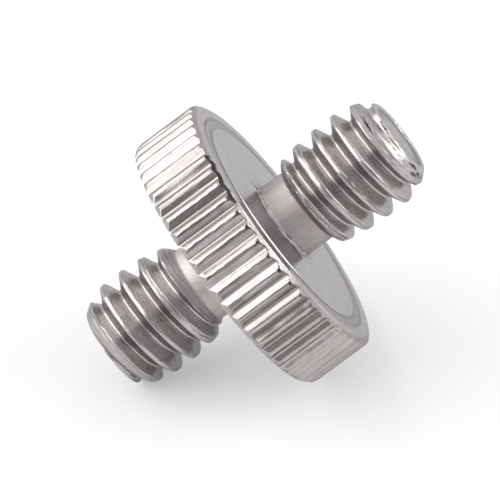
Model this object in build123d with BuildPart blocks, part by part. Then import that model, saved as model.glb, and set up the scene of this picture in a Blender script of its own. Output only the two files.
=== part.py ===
from build123d import *
from math import asin, atan2, ceil, cos, degrees, radians, sin, tan
import os

# Unit: millimetre. A one-piece adapter turned from bar: a disc with a fluted rim, and on each of
# its faces a plain neck and a stud with a 1/4 inch by 20 thread, for camera mounts.
# It is made standing along its own axis, the disc's middle at zero, and is then laid down as it
# comes to rest: on two ridges of the rim and on the end of the lower stud.

# Disc
DISC_DIAMETER = 15.8
DISC_THICKNESS = 4.0
UPPER_BEVEL_WIDTH = 0.45
UPPER_BEVEL_DEPTH = 0.34
LOWER_BEVEL_WIDTH = 0.38
LOWER_BEVEL_DEPTH = 0.38

# How far the cutters of flutes and thread reach beyond the metal
CUTTER_CLEARANCE = 0.10

# Fine turned line on the upper face, outside which a camera plate seats
LINE_DIAMETER = 13.5
LINE_WIDTH = 0.10
LINE_DEPTH = 0.04

# Flutes around the rim: V grooves straight along the axis, with a narrow land between two of them
FLUTE_COUNT = 50
FLUTE_ANGLE = 110.0
FLUTE_DEPTH = 0.28

# Thread: 1/4 inch nominal, 20 turns to the inch, 60 degrees, with flat crests and roots
PITCH = 1.27
MAJOR_DIAMETER = 6.15
ROOT_DIAMETER = 4.80
ROOT_WIDTH = 0.28
THREAD_ANGLE = 60.0

# Necks and studs, their lengths measured from the faces of the disc
NECK_DIAMETER = 4.40
NECK_FILLET = 0.15
UPPER_NECK_LENGTH = 1.70
LOWER_NECK_LENGTH = 1.92
UPPER_STUD_LENGTH = 7.80
LOWER_STUD_LENGTH = 7.55
UPPER_THREAD_ANGLE = 151.0
LOWER_THREAD_ANGLE = 151.0

# Where the thread starts beside the neck: a short shoulder, then a slight taper up to full size
SHOULDER_HEIGHT = 0.30
TAPER_DIAMETER = 5.50
TAPER_LENGTH = 1.40

# Chamfered end of each stud
END_DIAMETER = 4.60
END_CHAMFER_LENGTH = 1.20

disc_radius = DISC_DIAMETER / 2
half_disc = DISC_THICKNESS / 2
line_radius = LINE_DIAMETER / 2
neck_radius = NECK_DIAMETER / 2
root_radius = ROOT_DIAMETER / 2
major_radius = MAJOR_DIAMETER / 2
taper_radius = TAPER_DIAMETER / 2
end_radius = END_DIAMETER / 2

# Section of each flute's cutter, measured outwards from the bottom of its V
half_flute = radians(FLUTE_ANGLE / 2)
flute_bottom = disc_radius - FLUTE_DEPTH
flute_reach = FLUTE_DEPTH + CUTTER_CLEARANCE
flute_mouth = flute_reach * tan(half_flute)

# Mouth of the thread's groove, at the clearance that the cutter has beyond the crests
cutter_reach = major_radius + CUTTER_CLEARANCE - root_radius
mouth_width = ROOT_WIDTH + 2 * cutter_reach * tan(radians(THREAD_ANGLE / 2))


def stud_outline(face_height, direction, neck_length, stud_length):
    """Radii and heights from a face of the disc to the end of its stud, up or down by direction."""
    heights = [
        (neck_radius, 0),
        (neck_radius, neck_length),
        (taper_radius, neck_length + SHOULDER_HEIGHT),
        (major_radius, neck_length + SHOULDER_HEIGHT + TAPER_LENGTH),
        (major_radius, stud_length - END_CHAMFER_LENGTH),
        (end_radius, stud_length),
        (0, stud_length),
    ]
    return [(radius, face_height + direction * height) for radius, height in heights]


upper_outline = stud_outline(half_disc, 1, UPPER_NECK_LENGTH, UPPER_STUD_LENGTH)
lower_outline = stud_outline(-half_disc, -1, LOWER_NECK_LENGTH, LOWER_STUD_LENGTH)
disc_outline = [
    (disc_radius - LOWER_BEVEL_WIDTH, -half_disc),
    (disc_radius, -half_disc + LOWER_BEVEL_DEPTH),
    (disc_radius, half_disc - UPPER_BEVEL_DEPTH),
    (disc_radius - UPPER_BEVEL_WIDTH, half_disc),
    (line_radius + LINE_WIDTH / 2, half_disc),
    (line_radius, half_disc - LINE_DEPTH),
    (line_radius - LINE_WIDTH / 2, half_disc),
]
upper_face = Plane.XY.offset(half_disc)
lower_face = Plane(origin=(0, 0, -half_disc), x_dir=(1, 0, 0), z_dir=(0, 0, -1))

# Cutter of one turn of the thread, starting on the X axis at the middle of its groove
with BuildPart() as turn_cutter:
    with BuildLine() as turn:
        Helix(PITCH, PITCH, root_radius)
    with BuildSketch(Plane.XZ):
        with BuildLine():
            Polyline(
                (root_radius, -ROOT_WIDTH / 2),
                (root_radius + cutter_reach, -mouth_width / 2),
                (root_radius + cutter_reach, mouth_width / 2),
                (root_radius, ROOT_WIDTH / 2),
                close=True,
            )
        make_face()
    sweep(path=turn.line, is_frenet=True)

with BuildPart() as standing:
    # Turned blank
    with BuildSketch(Plane.XZ) as profile:
        with BuildLine():
            Polyline(*reversed(lower_outline), *disc_outline, *upper_outline, close=True)
        make_face()
        face_corners = profile.vertices().filter_by(lambda corner: abs(abs(corner.Y) - half_disc) < 0.001)
        neck_feet = face_corners.filter_by(lambda corner: abs(corner.X - neck_radius) < 0.001)
        fillet(neck_feet, NECK_FILLET)
    revolve(axis=Axis.Z)

    # Flutes of the rim
    with BuildSketch(lower_face):
        with PolarLocations(flute_bottom, FLUTE_COUNT):
            Polygon((0, 0), (flute_reach, -flute_mouth), (flute_reach, flute_mouth), align=None)
    extrude(amount=-DISC_THICKNESS, mode=Mode.SUBTRACT)

    # Thread grooves, turn by turn: each starts just clear of the shoulder and runs out past the end
    for face, neck_length, stud_length, thread_angle in (
        (upper_face, UPPER_NECK_LENGTH, UPPER_STUD_LENGTH, UPPER_THREAD_ANGLE),
        (lower_face, LOWER_NECK_LENGTH, LOWER_STUD_LENGTH, LOWER_THREAD_ANGLE),
    ):
        groove_start = face.offset(neck_length - mouth_width / 2).rotated((0, 0, thread_angle))
        for turn_number in range(ceil((stud_length - neck_length + mouth_width) / PITCH)):
            with Locations(groove_start.offset(turn_number * PITCH).location):
                add(turn_cutter.part, mode=Mode.SUBTRACT)

# At rest a flute faces straight down, and the ridges at its two sides touch the ground where they
# meet the lower bevel. The lower stud touches with its end or with its first full crest.
ridge_angle = half_flute - asin(flute_bottom / disc_radius * sin(half_flute))
ridge_drop = disc_radius * cos(ridge_angle)
reach = LOWER_STUD_LENGTH + LOWER_BEVEL_DEPTH
tilt_on_end = atan2(ridge_drop - end_radius, reach)
tilt_on_crest = atan2(ridge_drop - major_radius, reach - END_CHAMFER_LENGTH)
tilt = degrees(min(tilt_on_end, tilt_on_crest))

with BuildPart() as laid:
    with Locations(Location((0, 0, 0), (0, 90 - tilt, 0))):
        add(standing.part)

# The origin is on the ground, at the middle of the piece's outline as seen from above
box = laid.part.bounding_box()
with BuildPart() as thread_adapter:
    with Locations((-box.center().X, -box.center().Y, -box.min.Z)):
        add(laid.part)

os.makedirs("parts", exist_ok=True)
thread_adapter.part.label = "thread_adapter"
export_step(thread_adapter.part, "parts/thread_adapter.step")
print(f"tilt {tilt:.3f} degrees, centre of disc {-box.center().X:.4f}, {-box.min.Z:.4f}")
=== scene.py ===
from math import atan2, ceil, cos, floor, hypot, pi, radians, sin, sqrt, tan

import bpy
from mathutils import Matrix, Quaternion, Vector, noise


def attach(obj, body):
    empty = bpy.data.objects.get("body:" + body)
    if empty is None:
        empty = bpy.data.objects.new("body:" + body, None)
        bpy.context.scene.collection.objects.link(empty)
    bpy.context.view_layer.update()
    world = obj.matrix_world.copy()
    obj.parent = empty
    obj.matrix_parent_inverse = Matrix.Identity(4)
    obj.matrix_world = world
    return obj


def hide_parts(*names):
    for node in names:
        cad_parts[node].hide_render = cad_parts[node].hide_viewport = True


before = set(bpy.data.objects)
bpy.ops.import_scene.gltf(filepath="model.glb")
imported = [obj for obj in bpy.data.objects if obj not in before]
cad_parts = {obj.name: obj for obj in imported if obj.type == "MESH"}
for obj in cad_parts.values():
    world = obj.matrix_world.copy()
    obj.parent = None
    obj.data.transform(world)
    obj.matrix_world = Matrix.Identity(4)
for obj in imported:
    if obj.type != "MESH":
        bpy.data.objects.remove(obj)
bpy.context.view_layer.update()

# The adapter is modelled in millimetres, standing on its axis with the middle of the disc at zero,
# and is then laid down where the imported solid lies.
MILLIMETRE = 0.001
TILT = radians(35.183)
DISC_CENTRE = Vector((-0.1022, 0.0, 7.3825))

# Side of the adapter, as an angle about its axis, that is turned to the camera
NEAR_ANGLE = radians(-126.45)

# Thread: the slope is what half the groove gains in width per millimetre outwards, and the lead is
# how far below the neck's end the middle of the groove starts.
PITCH = 1.27
ROOT_RADIUS = 2.26
ROOT_WIDTH = 0.15
FLANK_SLOPE = 0.57
GROOVE_LEAD = 0.615
THREAD_ROUNDING = 0.07
THREAD_ROWS = 32
THREAD_STEPS = 120

# Where the groove runs out near a stud's end: from how far below the end, and what it gains there
RUN_OUT_HEIGHT = 0.75
RUN_OUT_WIDTH = 0.05
RUN_OUT_DEPTH = 0.08

# Studs: the height of each neck, the angle at which its thread starts, the side on which its shoulder
# comes early, and where in the pitch the fine seam along its crests lies. The foot is the lowest part
# of the neck, uneven where it meets the disc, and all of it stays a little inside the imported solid.
UPPER_NECK, LOWER_NECK = 1.70, 1.80
UPPER_START, LOWER_START = radians(151), radians(117)
UPPER_EARLY_SIDE, LOWER_EARLY_SIDE = radians(143), radians(-143)
UPPER_SEAM, LOWER_SEAM = 0.555, 0.445
SEAM_WIDTH = 0.055
SEAM_DEPTH = 0.035
SHOULDER_LEAD = 0.10
FOOT_HEIGHT = 0.2
INSIDE_SOLID = 0.012

# Outlines of the turned studs: height over the face of the disc and radius
UPPER_STUD = [
    (0.0, 2.35), (0.02, 2.285), (0.06, 2.23), (0.15, 2.20), (1.62, 2.20), (1.76, 2.44), (1.98, 2.73),
    (2.9, 2.92), (3.7, 3.02), (5.0, 3.06), (6.1, 3.06), (6.75, 2.86), (7.3, 2.60), (7.62, 2.34),
    (7.76, 2.18), (7.80, 2.06),
]
LOWER_STUD = [
    (0.0, 2.35), (0.02, 2.285), (0.06, 2.23), (0.15, 2.20), (1.66, 2.20), (1.90, 2.40), (2.25, 2.74),
    (3.0, 2.92), (3.6, 3.02), (4.2, 3.07), (5.8, 3.07), (6.3, 2.98), (6.82, 2.78), (7.15, 2.575),
    (7.42, 2.385), (7.52, 2.31), (7.55, 2.22),
]

# Nicks in the chamfered ends: angle, height over the face, half their width in degrees and half
# their height
UPPER_NICKS = [
    (-160, 7.10, 16, 0.085), (-154, 7.50, 10, 0.05), (-152, 7.70, 16, 0.05), (-117, 7.52, 22, 0.016),
    (-78, 7.66, 11, 0.08), (-72, 7.40, 10, 0.06), (-62, 7.52, 7, 0.07),
]
LOWER_NICKS = [(65, 7.33, 12, 0.05), (122, 7.42, 26, 0.03)]
NICK_DEPTH = 0.05

# Rings that close a stud's end: share of the ring before and drop into the shallow dish
END_RINGS = [(0.965, 0.0), (0.97, 0.03), (0.955, 0.08), (0.975, 0.01), (0.6, 0.0), (0.25, 0.0)]

# Rim of the disc: its bevelled outline, and how much of its rows lie up to each height
HALF_DISC = 2.0
RIM_RADIUS = 7.89
RIM_OUTLINE = [
    (-2.0, 7.545), (-1.9, 7.655), (-1.78, 7.775), (-1.66, 7.862), (-1.5, 7.89), (1.50, 7.89), (1.66, 7.88),
    (1.75, 7.84), (1.81, 7.765), (1.86, 7.68), (1.92, 7.57), (2.0, 7.44),
]
ROW_HEIGHTS = [(0.0, -2.0), (0.24, -1.5), (0.60, 1.30), (1.0, 2.0)]
RIM_ROWS = 44
RIDGE_ROUNDING = 0.10
BEVEL_ROUNDING = 0.03
BLUNT_SIDE = radians(143)
BLUNTNESS = 0.55

# Flutes: the slopes are how far the wall at each side runs sideways per millimetre outwards, and the
# columns give the places of the points across half a flute, as shares of its width
FLUTES = 52
FLUTE_START = radians(2.1)
FLUTE_DEPTH = 0.31
LEFT_SLOPE = tan(radians(57))
RIGHT_SLOPE = tan(radians(50.5))
VALLEY_ROUNDING = 0.0045
COLUMNS_PER_FLUTE = 16
COLUMNS = [
    (0.0, 0.0), (0.0625, 0.03), (0.125, 0.12), (0.1875, 0.22), (0.25, 0.295), (0.3125, 0.345),
    (0.375, 0.395), (0.4375, 0.445), (0.5, 0.5),
]

# Upper ends of the flutes: the height from which they get shallower and how fast, the height of the painted
# shade beside them, and the angles from the near side between which it is a thick patch
FLUTE_END = 1.79
FLUTE_END_SLOPE = 2.2
SHADE_LINE_HEIGHT = 1.81
THICK_SHADE_PATCH = (0.30, 0.74)

# Rings of the faces: radius and depth below the face. The upper face has a fine turned line in a shallow
# step. Each face's last ring and its stud's foot lie within the radius inside which they are bridged.
UPPER_FACE = [
    (7.41, 0.0), (6.92, 0.0), (6.86, 0.045), (6.72, 0.055), (6.64, 0.055), (6.19, 0.05), (6.13, 0.0),
    (6.08, 0.0), (5.0, 0.0), (4.0, 0.0), (3.0, 0.0),
]
LOWER_FACE = [(7.50, 0.0), (5.5, 0.0), (3.0, 0.0)]
BRIDGED_WITHIN = 3.4

# Plating on each part: one finish in lighter and darker copies as painted light and shade; what marks
# multiply it by; and what lies on it
RIM_COLOUR = (0.475, 0.455, 0.451, 1)
FACE_COLOUR = (0.60, 0.588, 0.60, 1)
THREAD_COLOUR = (0.505, 0.492, 0.489, 1)
NECK_COLOUR = (0.565, 0.541, 0.538, 1)
END_COLOUR = (0.60, 0.588, 0.594, 1)
WORN_COLOUR = (0.74, 0.73, 0.73, 1)
PATCH_TINT = (0.96, 0.92, 0.915, 1)
DULL_TINT = (0.66, 0.63, 0.62, 1)
SPOT_TINT = (0.72, 0.70, 0.69, 1)
BAND_TINT = (0.66, 0.61, 0.60, 1)
# Painted shade, near black, in grooves, nicks, creases and at the ends of the flutes
PAINTED_SHADE_COLOUR = (0.035, 0.03, 0.03, 1)
# Painted shade on one wall of each flute, on the side turned to the camera
FLANK_SHADE_COLOUR = (0.16, 0.145, 0.14, 1)

# Room: its plain brightness, and patches of it by direction, start, full size and change
ROOM_BRIGHTNESS = 0.68
ROOM_PATCHES = [
    ((-0.36, -0.90, 0.22), 0.78, 0.97, -0.33),
    ((0.30, 0.85, 0.40), 0.55, 0.95, 0.24),
    ((0.0, 0.0, 1.0), 0.60, 0.98, 0.16),
]

# Camera: its angle above the plane of the disc, its slight turn, and in metres its distance and how far
# its middle lies left of the disc's middle and below it
CAMERA_LIFT = radians(10.54)
CAMERA_TURN = radians(-0.3)
CAMERA_DISTANCE = 0.350
CAMERA_LEFT = 0.0002027
CAMERA_DOWN = 0.00032


def eased_min(a, b, rounding):
    """The smaller of two radii, with the edge between them rounded over."""
    overlap = max(rounding - abs(a - b), 0.0)
    return min(a, b) - overlap * overlap / (4 * rounding)


def along(outline, position):
    """Value of an outline of straight runs at a position along it."""
    if position <= outline[0][0]:
        return outline[0][1]
    for (start, first), (end, last) in zip(outline, outline[1:]):
        if position <= end:
            return first + (last - first) * (position - start) / (end - start)
    return outline[-1][1]


def wander(seed, a, b=0.0, c=0.0):
    """Smooth unevenness between about -1 and 1, the same on every run."""
    return noise.noise(Vector((a + seed * 17.3, b + seed * 5.1, c)))


def angle_from(start, angle):
    """Angle about the axis from a start, between minus and plus half a turn."""
    return (angle - start + pi) % (2 * pi) - pi


def select_points(piece, wanted):
    """Leaves the piece in edit mode with just the points selected that pass a test, and their edges."""
    bpy.ops.object.mode_set(mode="EDIT")
    bpy.ops.mesh.select_mode(type="VERT")
    bpy.ops.mesh.select_all(action="DESELECT")
    bpy.ops.object.mode_set(mode="OBJECT")
    for vertex in piece.data.vertices:
        vertex.select = wanted(vertex.co)
    bpy.ops.object.mode_set(mode="EDIT")


def select_open_edges(piece, wanted):
    """Leaves the piece in edit mode with just the open edges selected whose two ends pass a test."""
    bpy.ops.object.mode_set(mode="EDIT")
    bpy.ops.mesh.select_mode(type="EDGE")
    bpy.ops.mesh.select_all(action="DESELECT")
    bpy.ops.object.mode_set(mode="OBJECT")
    users = {}
    for polygon in piece.data.polygons:
        for key in polygon.edge_keys:
            users[key] = users.get(key, 0) + 1
    points = piece.data.vertices
    for line in piece.data.edges:
        line.select = users.get(line.key, 0) == 1 and all(wanted(points[end].co) for end in line.vertices)
    bpy.ops.object.mode_set(mode="EDIT")


def upright_edge(name, radius, bottom, top, rows):
    """A single upright edge at a radius, cut into equal rows, ready to be turned about the axis."""
    bpy.ops.object.select_all(action="DESELECT")
    bpy.ops.mesh.primitive_plane_add(
        size=top - bottom, location=(radius, 0, (bottom + top) / 2), rotation=(pi / 2, 0, 0)
    )
    strip = bpy.context.object
    strip.name = name
    bpy.ops.object.transform_apply(location=True, rotation=True, scale=True)
    select_points(strip, lambda point: point.x < radius)
    bpy.ops.mesh.delete(type="VERT")
    bpy.ops.mesh.select_all(action="SELECT")
    bpy.ops.transform.translate(value=(-(top - bottom) / 2, 0, 0))
    bpy.ops.mesh.subdivide(number_cuts=rows - 1)
    bpy.ops.object.mode_set(mode="OBJECT")
    return strip


def turn_about_axis(piece, steps, rise=0.0, turns=1):
    """Winds an edge about the axis, rising by one pitch a turn for a thread."""
    bpy.ops.object.modifier_add(type="SCREW")
    screw = piece.modifiers[-1]
    screw.axis = "Z"
    screw.steps = steps
    screw.render_steps = steps
    screw.screw_offset = rise
    screw.iterations = turns
    screw.use_smooth_shade = True
    bpy.ops.object.modifier_apply(modifier=screw.name)
    bpy.ops.object.mode_set(mode="EDIT")
    bpy.ops.mesh.select_all(action="SELECT")
    bpy.ops.mesh.remove_doubles(threshold=0.001)
    bpy.ops.object.mode_set(mode="OBJECT")


def cut_level(height, keep_above):
    """Cuts the piece level at a height and clears what is beyond."""
    bpy.ops.object.mode_set(mode="EDIT")
    bpy.ops.mesh.select_all(action="SELECT")
    bpy.ops.mesh.bisect(
        plane_co=(0, 0, height), plane_no=(0, 0, 1), clear_inner=keep_above, clear_outer=not keep_above
    )
    bpy.ops.mesh.select_all(action="DESELECT")
    bpy.ops.object.mode_set(mode="OBJECT")


def threaded_stud(name, outline, start_angle, neck_length, early_side, seam, nicks, seed):
    """A stud that stands on a face of the disc: neck, shoulder, rolled thread and chamfered end."""
    end_height = outline[-1][0]
    stud = upright_edge(name, ROOT_RADIUS, -PITCH, 0, THREAD_ROWS)
    turn_about_axis(stud, THREAD_STEPS, PITCH, ceil(end_height / PITCH) + 2)
    groove_height = neck_length - GROOVE_LEAD
    for drawn in ("edge", "painted_shade"):
        stud.data.attributes.new(drawn, "FLOAT", "POINT")
    edge = stud.data.attributes["edge"].data
    painted_shade = stud.data.attributes["painted_shade"].data
    for index, vertex in enumerate(stud.data.vertices):
        x, y, height = vertex.co
        angle = atan2(y, x)

        # Groove of the thread, a little wider and deeper where it runs out at the end
        lag = height - groove_height - PITCH * (angle - start_angle) / (2 * pi)
        turn = lag / PITCH
        share = turn - floor(turn)
        from_groove = abs(turn - round(turn)) * PITCH
        climb = (height * 4.0, cos(angle) * 6.0, sin(angle) * 6.0)
        from_groove += 0.016 * wander(seed, *climb)
        root = ROOT_RADIUS
        if height > end_height - RUN_OUT_HEIGHT:
            from_groove -= RUN_OUT_WIDTH
            root -= RUN_OUT_DEPTH
        groove = -eased_min(-root, -(root + (from_groove - ROOT_WIDTH / 2) / FLANK_SLOPE), THREAD_ROUNDING)

        # Blank, with an uneven foot on the disc and a worn seam along the crests, both darkened with
        # painted shade
        near_disc = max(0.0, 1 - abs(height - neck_length - 0.1) / 0.6)
        lead = SHOULDER_LEAD * near_disc * cos(angle - early_side)
        blank = along(outline, height + lead) - INSIDE_SOLID
        if height < FOOT_HEIGHT:
            blank += 0.02 * (1 - height / FOOT_HEIGHT) * wander(seed + 7, angle * 3.0, height * 8.0)
            painted_shade[index].value = min(1.0, max(0.0, 2.2 * wander(seed + 8, angle * 4.0, height * 14.0)))
        if height > neck_length + 0.1:
            blank -= 0.022 * wander(seed + 3, *climb) + 0.016 * wander(seed + 4, height * 9.0, angle * 9.0)
            worn = 0.5 + 0.9 * wander(seed + 6, height * 1.3, angle * 2.2)
            off_seam = abs(share - seam - 0.03 * wander(seed + 5, height, angle * 6.0))
            line = max(0.0, 1 - off_seam / SEAM_WIDTH)
            blank -= SEAM_DEPTH * line * worn
            painted_shade[index].value = max(0.0, line * worn * 0.8)
            edge[index].value = min(1.0, max(0.0, from_groove / (PITCH / 2)))

        # Nicks cut into the chamfered ends, with painted shade in them
        for nick_angle, nick_height, half_angle, half_height in nicks:
            aside = abs(angle_from(radians(nick_angle), angle)) / radians(half_angle)
            raised = abs(height - nick_height) / half_height
            cut = max(0.0, 1 - aside**2 - raised**2 + 0.5 * wander(seed + 9, height * 12, angle * 20))
            blank -= NICK_DEPTH * min(1.0, cut)
            painted_shade[index].value = max(painted_shade[index].value, min(1.0, cut * 1.6))
        radius = eased_min(groove, blank, THREAD_ROUNDING)
        vertex.co = (radius * cos(angle), radius * sin(angle), height)
    cut_level(0.0, True)
    cut_level(end_height, False)
    return stud


def close_end(stud, end_height):
    """Closes a stud's end with a shallow dish and a small fan at the axis."""
    select_open_edges(stud, lambda point: point.z > end_height - 0.0005)
    for share, drop in END_RINGS:
        bpy.ops.mesh.extrude_edges_move(TRANSFORM_OT_translate={"value": (0, 0, -drop)})
        bpy.ops.transform.resize(value=(share, share, 1))
    bpy.ops.mesh.extrude_edges_move()
    bpy.ops.mesh.merge(type="CENTER")
    bpy.ops.object.mode_set(mode="OBJECT")
    # A faint ring of painted shade in the end's dish, near its edge
    painted_shade = stud.data.attributes["painted_shade"].data
    for index, vertex in enumerate(stud.data.vertices):
        x, y, height = vertex.co
        if end_height - 0.14 < height < end_height - 0.09 and hypot(x, y) < 1.95:
            painted_shade[index].value = 0.45 if hypot(x, y) > 1.75 else 0.0


def stand_on_face(stud, turn, height):
    """Places a finished stud on its face of the disc."""
    stud.rotation_euler = (turn, 0, 0)
    stud.location = (0, 0, height)
    bpy.ops.object.transform_apply(location=True, rotation=True, scale=True)


def fluted_rim(name):
    """The rim of the disc, bevelled at both faces and fluted along the axis."""
    rim = upright_edge(name, RIM_RADIUS, 0, 1, RIM_ROWS)
    turn_about_axis(rim, FLUTES * COLUMNS_PER_FLUTE)
    pitch = 2 * pi / FLUTES
    for drawn in ("edge", "painted_shade", "flank_shade"):
        rim.data.attributes.new(drawn, "FLOAT", "POINT")
    edge = rim.data.attributes["edge"].data
    painted_shade = rim.data.attributes["painted_shade"].data
    flank_shade = rim.data.attributes["flank_shade"].data
    for index, vertex in enumerate(rim.data.vertices):
        x, y, share = vertex.co
        height = along(ROW_HEIGHTS, share)
        column = atan2(y, x) / pitch
        flute = round(column)
        within = column - flute
        across = along(COLUMNS, abs(within)) * (1 if within > 0 else -1) * pitch

        # Each ridge leans and rises a little in its own way
        ridge = (flute + (1 if within > 0 else 0)) % FLUTES
        near_ridge = abs(across) / (pitch / 2)
        shift = 0.07 * wander(1, ridge * 3.7, height * 0.9) + 0.055 * wander(2, ridge * 1.9, height * 3.0)
        rise = 0.05 * wander(5, ridge * 2.3, height * 0.7) + 0.025 * wander(6, ridge * 1.3, height * 3.5)
        depth = FLUTE_DEPTH + 0.035 * wander(7, (flute % FLUTES) * 2.9)
        beside = sqrt(sin(across) ** 2 + VALLEY_ROUNDING**2)
        valley = (RIM_RADIUS - depth) / (cos(across) - beside / (RIGHT_SLOPE if within > 0 else LEFT_SLOPE))
        angle = flute * pitch + across + FLUTE_START

        # Bevels, with wavy ends of the flutes and a blunter lower edge at one side
        end_wave = 0.02 * wander(8, flute * 1.7) + 0.02 * wander(9, angle * 9)
        blank = along(RIM_OUTLINE, height + (end_wave if abs(height) < 1.95 else 0.0))
        if height < -1.5:
            blank += (RIM_RADIUS - blank) * BLUNTNESS * max(0.0, cos(angle - BLUNT_SIDE))
        run_up = FLUTE_END_SLOPE * max(0.0, height - FLUTE_END)
        valley = min(valley + near_ridge**3 * rise + run_up, RIM_RADIUS)
        radius = eased_min(eased_min(valley, RIM_RADIUS, RIDGE_ROUNDING), blank, BEVEL_ROUNDING)
        angle += near_ridge**2 * shift / RIM_RADIUS
        fluted = 1.0 if abs(height) < 1.7 else max(0.0, 1 - max(0.0, valley - blank) / 0.05)
        edge[index].value = near_ridge * fluted

        # Painted shade: a thin dark line at the upper ends of the flutes, darker in the crease on the near
        # side, and a thicker patch of it
        around = abs(angle_from(NEAR_ANGLE, angle))
        left = angle_from(angle, NEAR_ANGLE)
        if height > 1.6:
            line_height = SHADE_LINE_HEIGHT + 0.06 * (1 - near_ridge) + 0.04 * wander(10, angle * 16)
            in_patch = THICK_SHADE_PATCH[0] < left < THICK_SHADE_PATCH[1]
            patch = max(0.0, 1 - abs(height - line_height) / 0.11) * 2.6 if in_patch else 0.0
            crease = max(0.0, 1 - abs(valley - blank - 0.02) / 0.10) * 1.5 * max(0.0, 1 - around / 1.0)
            line = max(patch, crease) * (0.85 + 0.8 * wander(11, angle * 25))
            painted_shade[index].value = min(1.0, max(0.0, line))
        # Painted shade on the left wall of each flute, strongest on the side turned to the camera
        if within < 0:
            facing = max(0.0, cos(angle - NEAR_ANGLE)) ** 4
            flank_shade[index].value = fluted * facing * min(1.0, max(0.35, (near_ridge - 0.62) / 0.17))
        vertex.co = (radius * cos(angle), radius * sin(angle), height)
    return rim


def face_rings(rim, height, rings):
    """Draws the rim's edge inwards over a face, ring by ring: radius and depth below the face."""
    select_open_edges(rim, lambda point: abs(point.z - height) < 0.001)
    side = 1 if height > 0 else -1
    radius, depth = along(RIM_OUTLINE, height), 0.0
    for next_radius, next_depth in rings:
        step = side * (depth - next_depth)
        bpy.ops.mesh.extrude_edges_move(TRANSFORM_OT_translate={"value": (0, 0, step)})
        share = next_radius / radius
        bpy.ops.transform.resize(value=(share, share, 1))
        radius, depth = next_radius, next_depth
    bpy.ops.object.mode_set(mode="OBJECT")


def face_painted_shade(rim):
    """Painted shade in the turned line of the upper face, and fainter at the inner edge of its ring."""
    painted_shade = rim.data.attributes["painted_shade"].data
    for index, vertex in enumerate(rim.data.vertices):
        x, y, height = vertex.co
        radius = hypot(x, y)
        left = angle_from(atan2(y, x), NEAR_ANGLE)
        if height <= HALF_DISC - 0.07 or radius >= 6.9:
            continue
        if radius > 6.70:
            strength = 1.0 if -0.3 < left < 1.5 else 0.4
            painted_shade[index].value = min(1.0, strength * (0.85 + 0.5 * wander(12, atan2(y, x) * 4)))
        else:
            painted_shade[index].value = 0.4 if 6.15 < radius < 6.25 and abs(left) > 0.36 else 0.0


def feed(tree, sockets, values):
    """Sets each socket to a number or colour, or links it to another node's output."""
    for socket, value in zip(sockets, values):
        if isinstance(value, (int, float, tuple)):
            socket.default_value = value
        else:
            tree.links.new(value, socket)


def combined(tree, operation, *values):
    """One to three values, put together by a math node."""
    node = tree.nodes.new("ShaderNodeMath")
    node.operation = operation
    feed(tree, node.inputs, values)
    return node.outputs[0]


def smooth_mask(tree, value, start, end):
    """0 below the start and 1 above the end of a range, or the other way round."""
    mask = tree.nodes.new("ShaderNodeMapRange")
    mask.interpolation_type = "SMOOTHSTEP"
    mask.inputs["From Min"].default_value = start
    mask.inputs["From Max"].default_value = end
    tree.links.new(value, mask.inputs["Value"])
    return mask.outputs["Result"]


def stretched(tree, place, amounts):
    """A place with each of its directions stretched by an amount."""
    node = tree.nodes.new("ShaderNodeVectorMath")
    node.operation = "MULTIPLY"
    node.inputs[1].default_value = amounts
    tree.links.new(place, node.inputs[0])
    return node.outputs[0]


def cloud(tree, place, scale, detail, roughness=0.5):
    """Soft cloudy noise between 0 and 1."""
    node = tree.nodes.new("ShaderNodeTexNoise")
    node.inputs["Scale"].default_value = scale
    node.inputs["Detail"].default_value = detail
    node.inputs["Roughness"].default_value = roughness
    tree.links.new(place, node.inputs["Vector"])
    return node.outputs["Fac"]


def blend(tree, share, first, second, kind="MIX"):
    """Two colours, mixed or multiplied by a share."""
    node = tree.nodes.new("ShaderNodeMix")
    node.data_type = "RGBA"
    node.blend_type = kind
    feed(tree, (node.inputs[0], node.inputs[6], node.inputs[7]), (share, first, second))
    return node.outputs[2]


def drawn_value(tree, name):
    """Value that was drawn on the mesh point by point."""
    node = tree.nodes.new("ShaderNodeAttribute")
    node.attribute_name = name
    return node.outputs["Fac"]


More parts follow.
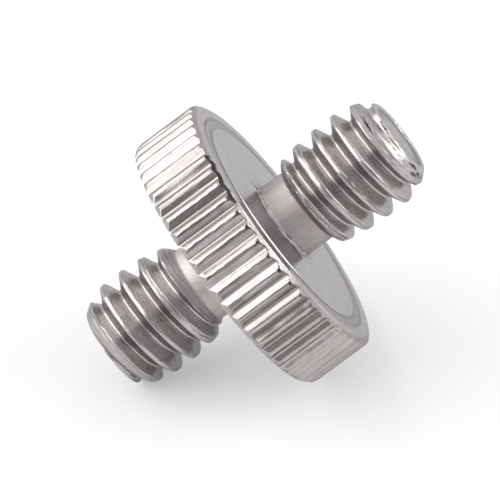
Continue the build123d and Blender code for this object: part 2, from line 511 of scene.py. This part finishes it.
def plated_metal():
    """Bright nickel plate over turned and rolled steel, in millimetres along and around the axis."""
    metal = bpy.data.materials.new("bright_plated_steel")
    metal.use_nodes = True
    tree = metal.node_tree
    shader = tree.nodes["Principled BSDF"]
    shader.inputs["Metallic"].default_value = 1.0
    shader.inputs["Specular Tint"].default_value = (0.6, 0.6, 0.6, 1)

    # Place on the standing adapter, its distance from the axis and its height from the disc's middle
    place = tree.nodes.new("ShaderNodeTexCoord")
    own = tree.nodes.new("ShaderNodeMapping")
    own.vector_type = "TEXTURE"
    own.inputs["Location"].default_value = DISC_CENTRE * MILLIMETRE
    own.inputs["Rotation"].default_value = (0, pi / 2 - TILT, 0)
    own.inputs["Scale"].default_value = (MILLIMETRE, MILLIMETRE, MILLIMETRE)
    tree.links.new(place.outputs["Object"], own.inputs["Vector"])
    own_place = own.outputs["Vector"]
    flat = tree.nodes.new("ShaderNodeVectorMath")
    flat.operation = "LENGTH"
    tree.links.new(stretched(tree, own_place, (1, 1, 0)), flat.inputs[0])
    radius = flat.outputs["Value"]
    parts = tree.nodes.new("ShaderNodeSeparateXYZ")
    tree.links.new(own_place, parts.inputs[0])
    rise = parts.outputs["Z"]
    level = combined(tree, "ABSOLUTE", rise)

    # Where the studs, the faces, the upper end and the necks are
    inside = smooth_mask(tree, radius, 3.5, 3.2)
    on_stud = combined(tree, "MULTIPLY", inside, smooth_mask(tree, level, 2.01, 2.05))
    off_stud = combined(tree, "SUBTRACT", 1.0, on_stud)
    on_face = combined(tree, "MULTIPLY", smooth_mask(tree, level, 1.93, 1.97), off_stud)
    on_end = combined(tree, "MULTIPLY", smooth_mask(tree, rise, 9.64, 9.67), on_stud)
    slim = smooth_mask(tree, radius, 2.42, 2.34)
    on_neck = combined(tree, "MULTIPLY", slim, smooth_mask(tree, level, 3.85, 3.65))
    off_neck = combined(tree, "SUBTRACT", 1.0, combined(tree, "MULTIPLY", on_neck, 0.85))

    # Marks of turning and rolling run around the studs, and along the flutes of the rim
    around_marks = cloud(tree, stretched(tree, own_place, (0.7, 0.7, 7)), 1.6, 4, 0.6)
    along_marks = cloud(tree, stretched(tree, own_place, (6, 6, 0.45)), 1.0, 4, 0.6)
    marks = combined(
        tree, "ADD", combined(tree, "MULTIPLY", around_marks, on_stud),
        combined(tree, "MULTIPLY", along_marks, off_stud),
    )
    patches = cloud(tree, own_place, 0.55, 3, 0.55)
    grain = cloud(tree, own_place, 9.0, 2, 0.6)

    # Colour: each part's copy of the plating, darker on the rim and lighter on necks, faces and ends as
    # painted shade and light, then patches, dull marks, spots, wear, painted shade in hollows, bands and
    # painted shade on flute walls
    thread = blend(tree, on_neck, THREAD_COLOUR, NECK_COLOUR)
    thread = blend(tree, on_end, thread, END_COLOUR)
    colour = blend(tree, on_face, RIM_COLOUR, FACE_COLOUR)
    colour = blend(tree, on_stud, colour, thread)
    colour = blend(tree, smooth_mask(tree, patches, 0.42, 0.66), colour, PATCH_TINT, "MULTIPLY")
    dull = combined(tree, "MULTIPLY", smooth_mask(tree, marks, 0.62, 0.36), 0.45)
    colour = blend(tree, combined(tree, "MULTIPLY", dull, off_neck), colour, DULL_TINT, "MULTIPLY")
    spots = smooth_mask(tree, grain, 0.55, 0.72)
    colour = blend(tree, combined(tree, "MULTIPLY", spots, 0.25), colour, SPOT_TINT, "MULTIPLY")
    worn = smooth_mask(tree, drawn_value(tree, "edge"), 0.86, 0.97)
    colour = blend(tree, combined(tree, "MULTIPLY", worn, 0.25), colour, WORN_COLOUR)
    # Painted shade in hollows, creases and grooves
    shaded_hollows = combined(tree, "MULTIPLY", drawn_value(tree, "painted_shade"), 0.95)
    colour = blend(tree, shaded_hollows, colour, PAINTED_SHADE_COLOUR)
    bands = combined(tree, "MULTIPLY", smooth_mask(tree, along_marks, 0.60, 0.36), on_neck)
    colour = blend(tree, combined(tree, "MULTIPLY", bands, 0.30), colour, BAND_TINT, "MULTIPLY")
    # Painted shade on the flute walls, ragged along the flutes
    ragged = smooth_mask(tree, along_marks, 0.74, 0.38)
    shaded_flanks = combined(tree, "MULTIPLY", drawn_value(tree, "flank_shade"), ragged)
    colour = blend(tree, combined(tree, "MULTIPLY", shaded_flanks, 0.95), colour, FLANK_SHADE_COLOUR)
    tree.links.new(colour, shader.inputs["Base Color"])

    # Gloss: duller where marked and spotted, on the studs and most of all on the necks
    rough = combined(tree, "ADD", 0.15, combined(tree, "MULTIPLY", marks, 0.14))
    for mask, duller in ((on_stud, 0.05), (on_neck, 0.28), (spots, 0.12)):
        rough = combined(tree, "ADD", rough, combined(tree, "MULTIPLY", mask, duller))
    tree.links.new(rough, shader.inputs["Roughness"])

    # Relief in millimetres: the marks, a fine grain, and turned rings on the faces
    from_axis = tree.nodes.new("ShaderNodeCombineXYZ")
    tree.links.new(radius, from_axis.inputs[0])
    turned_rings = combined(tree, "MULTIPLY", cloud(tree, from_axis.outputs[0], 9.0, 3), on_face)
    relief = combined(tree, "MULTIPLY", combined(tree, "MULTIPLY", marks, off_neck), 0.010)
    relief = combined(tree, "ADD", relief, combined(tree, "MULTIPLY", grain, 0.0022))
    relief = combined(tree, "ADD", relief, combined(tree, "MULTIPLY", turned_rings, 0.0015))
    bump = tree.nodes.new("ShaderNodeBump")
    bump.inputs["Strength"].default_value = 1.0
    bump.inputs["Distance"].default_value = MILLIMETRE
    tree.links.new(relief, bump.inputs["Height"])
    tree.links.new(bump.outputs["Normal"], shader.inputs["Normal"])
    return metal


upper = threaded_stud(
    "upper_stud", UPPER_STUD, UPPER_START, UPPER_NECK, UPPER_EARLY_SIDE, UPPER_SEAM, UPPER_NICKS, 1
)
close_end(upper, UPPER_STUD[-1][0])
stand_on_face(upper, 0, HALF_DISC)

lower = threaded_stud(
    "lower_stud", LOWER_STUD, LOWER_START, LOWER_NECK, LOWER_EARLY_SIDE, LOWER_SEAM, LOWER_NICKS, 2
)
close_end(lower, LOWER_STUD[-1][0])
stand_on_face(lower, pi, -HALF_DISC)

adapter = fluted_rim("adapter")
face_rings(adapter, HALF_DISC, UPPER_FACE)
face_rings(adapter, -HALF_DISC, LOWER_FACE)
face_painted_shade(adapter)

# The three parts become one closed skin: each face is bridged to the foot of its neck.
for part in (upper, lower):
    part.select_set(True)
bpy.ops.object.join()
for face_height in (HALF_DISC, -HALF_DISC):
    select_open_edges(
        adapter,
        lambda point: abs(point.z - face_height) < 0.0005 and hypot(point.x, point.y) < BRIDGED_WITHIN,
    )
    bpy.ops.mesh.bridge_edge_loops()
    bpy.ops.object.mode_set(mode="OBJECT")
bpy.ops.object.mode_set(mode="EDIT")
bpy.ops.mesh.select_all(action="SELECT")
bpy.ops.mesh.normals_make_consistent(inside=False)
bpy.ops.object.mode_set(mode="OBJECT")

adapter.scale = (MILLIMETRE, MILLIMETRE, MILLIMETRE)
adapter.rotation_euler = (0, pi / 2 - TILT, 0)
adapter.location = DISC_CENTRE * MILLIMETRE
bpy.ops.object.transform_apply(location=True, rotation=True, scale=True)
bpy.ops.object.shade_smooth_by_angle(angle=radians(38))
adapter.data.materials.clear()
adapter.data.materials.append(plated_metal())

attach(adapter, "root")
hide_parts("thread_adapter")


def floor_material():
    """Pale floor that shows white and keeps the soft shadow."""
    pale = bpy.data.materials.new("pale_floor")
    pale.use_nodes = True
    tree = pale.node_tree
    shader = tree.nodes["Principled BSDF"]
    shader.inputs["Base Color"].default_value = (0.55, 0.55, 0.55, 1)
    shader.inputs["Roughness"].default_value = 0.9
    shader.inputs["Specular IOR Level"].default_value = 0.0
    shader.inputs["Emission Color"].default_value = (1, 1, 1, 1)
    rays = tree.nodes.new("ShaderNodeLightPath").outputs
    seen = combined(tree, "MAXIMUM", rays["Is Camera Ray"], rays["Is Glossy Ray"])
    seen = combined(tree, "MAXIMUM", seen, rays["Is Transmission Ray"])
    tree.links.new(combined(tree, "MULTIPLY", seen, 0.33), shader.inputs["Emission Strength"])
    return pale


def studio_room():
    """Pale room: lighter overhead and beyond the adapter, darker on the camera's side."""
    world = bpy.data.worlds.new("studio_room")
    bpy.context.scene.world = world
    world.use_nodes = True
    tree = world.node_tree
    place = tree.nodes.new("ShaderNodeTexCoord")
    strength = ROOM_BRIGHTNESS
    for way, start, end, change in ROOM_PATCHES:
        toward = tree.nodes.new("ShaderNodeVectorMath")
        toward.operation = "DOT_PRODUCT"
        toward.inputs[1].default_value = Vector(way).normalized()
        tree.links.new(place.outputs["Generated"], toward.inputs[0])
        share = smooth_mask(tree, toward.outputs["Value"], start, end)
        strength = combined(tree, "MULTIPLY_ADD", share, change, strength)
    background = tree.nodes["Background"]
    background.inputs["Color"].default_value = (1, 0.985, 0.98, 1)
    tree.links.new(strength, background.inputs["Strength"])


def softbox(name, azimuth, elevation, distance, width, height, radiance):
    """Soft lamp that faces the adapter. Azimuth 0 is behind it, 90 at its right."""
    lamp = bpy.data.lights.new(name, "AREA")
    lamp.shape = "RECTANGLE"
    lamp.size = width
    lamp.size_y = height
    lamp.energy = radiance * pi * width * height
    holder = bpy.data.objects.new(name, lamp)
    bpy.context.scene.collection.objects.link(holder)
    around, above = radians(azimuth), radians(elevation)
    way = Vector((sin(around) * cos(above), cos(around) * cos(above), sin(above)))
    holder.location = way * distance
    holder.rotation_mode = "QUATERNION"
    holder.rotation_quaternion = (-way).to_track_quat("-Z", "Y")


bpy.ops.object.select_all(action="DESELECT")
bpy.ops.mesh.primitive_plane_add(size=4, location=(0, 0, 0))
ground = bpy.context.object
ground.name = "floor"
ground.data.materials.append(floor_material())

studio_room()
softbox("softbox_left", -84, 36, 0.8, 1.45, 1.04, 1.82)
softbox("softbox_right", 100, 33, 0.8, 0.85, 0.60, 1.85)

# The camera looks at the disc's middle, from a little above the plane of the disc.
toward_axis = Vector((cos(TILT), 0, sin(TILT)))
toward_ground = Vector((sin(TILT), 0, -cos(TILT)))
near_side = toward_ground * cos(NEAR_ANGLE) + Vector((0, 1, 0)) * sin(NEAR_ANGLE)
toward_camera = toward_axis * sin(CAMERA_LIFT) + near_side * cos(CAMERA_LIFT)
eye = bpy.data.cameras.new("camera")
eye.lens = 472.5
eye.sensor_width = 36
eye.clip_start = 0.01
eye.clip_end = 20
camera = bpy.data.objects.new("camera", eye)
bpy.context.scene.collection.objects.link(camera)
camera.rotation_mode = "QUATERNION"
camera.rotation_quaternion = (-toward_camera).to_track_quat("-Z", "Y") @ Quaternion((0, 0, 1), CAMERA_TURN)
right = camera.rotation_quaternion @ Vector((1, 0, 0))
up = camera.rotation_quaternion @ Vector((0, 1, 0))
straight_back = DISC_CENTRE * MILLIMETRE + toward_camera * CAMERA_DISTANCE
camera.location = straight_back - right * CAMERA_LEFT - up * CAMERA_DOWN
bpy.context.scene.camera = camera

bpy.context.scene.view_settings.view_transform = "Standard"
